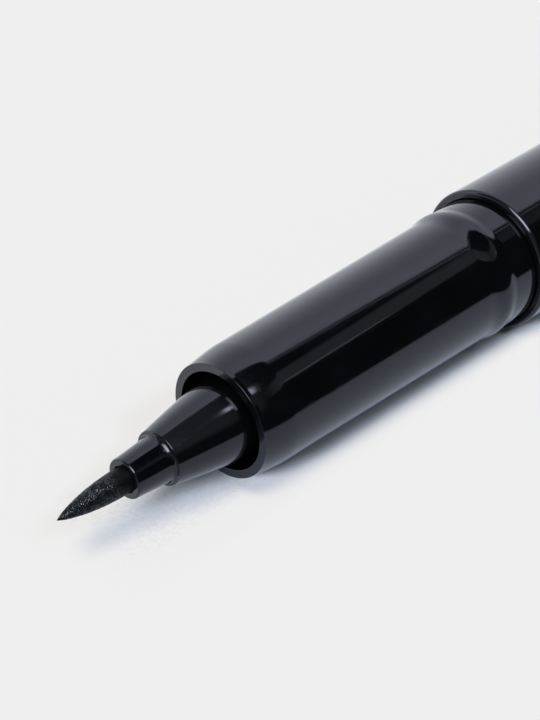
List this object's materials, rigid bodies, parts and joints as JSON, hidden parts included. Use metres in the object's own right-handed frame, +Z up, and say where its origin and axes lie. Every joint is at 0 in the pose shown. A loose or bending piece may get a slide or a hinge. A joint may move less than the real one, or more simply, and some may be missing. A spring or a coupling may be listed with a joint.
{
  "type": "liquid eyeliner pen",
  "caption": "Uncapped liquid eyeliner pen: tapered felt nib, stepped nose cone in an open neck sleeve, plain round barrel, and a pull-off cap with a sprung inner cap.",
  "frame": {"origin": "middle of the footprint of the pen and its pulled-off cap, on the surface they lie on", "axes": "+X along the pen from the nib to the tail, +Z up"},
  "size_m": [0.201, 0.011, 0.011],
  "materials": {
    "gloss_black": "polished injection moulding",
    "satin_black": "satin",
    "felt": "bonded fibre soaked with black liquid",
    "fibre": "bonded fibre",
    "natural_plastic": "natural, uncoloured",
    "seal_rubber": "matte",
    "steel": "bright"
  },
  "bodies": {
    "pen": {"nib": "felt", "nib_collar": "natural_plastic", "nose_cone": "gloss_black", "neck_sleeve": "gloss_black", "relay_core": "fibre", "collector": "natural_plastic", "collector_seal": "seal_rubber", "barrel": "gloss_black", "ink_tank": "natural_plastic", "tank_plug": "natural_plastic", "tail_plug": "gloss_black"},
    "cap": {"cap_shell": "gloss_black", "cap_liner": "satin_black", "cap_spring": "steel"},
    "seal_cup": {"inner_cap": "natural_plastic"},
    "stirring_ball": {"mixing_ball": "steel"}
  },
  "joints": [
    {"name": "cap_slide", "type": "slide", "parent": "pen", "child": "cap", "axis": [1, 0, 0], "range_m": [0, 0.06127]},
    {"name": "inner_cap_slide", "type": "slide", "parent": "cap", "child": "seal_cup", "axis": [-1, 0, 0], "range_m": [0, 0.001], "stiffness_N_per_m": 300, "deforming": ["cap_spring"]},
    {"name": "ball_slide", "type": "slide", "parent": "pen", "child": "stirring_ball", "axis": [-1, 0, 0], "range_m": [0, 0.0647]}
  ]
}
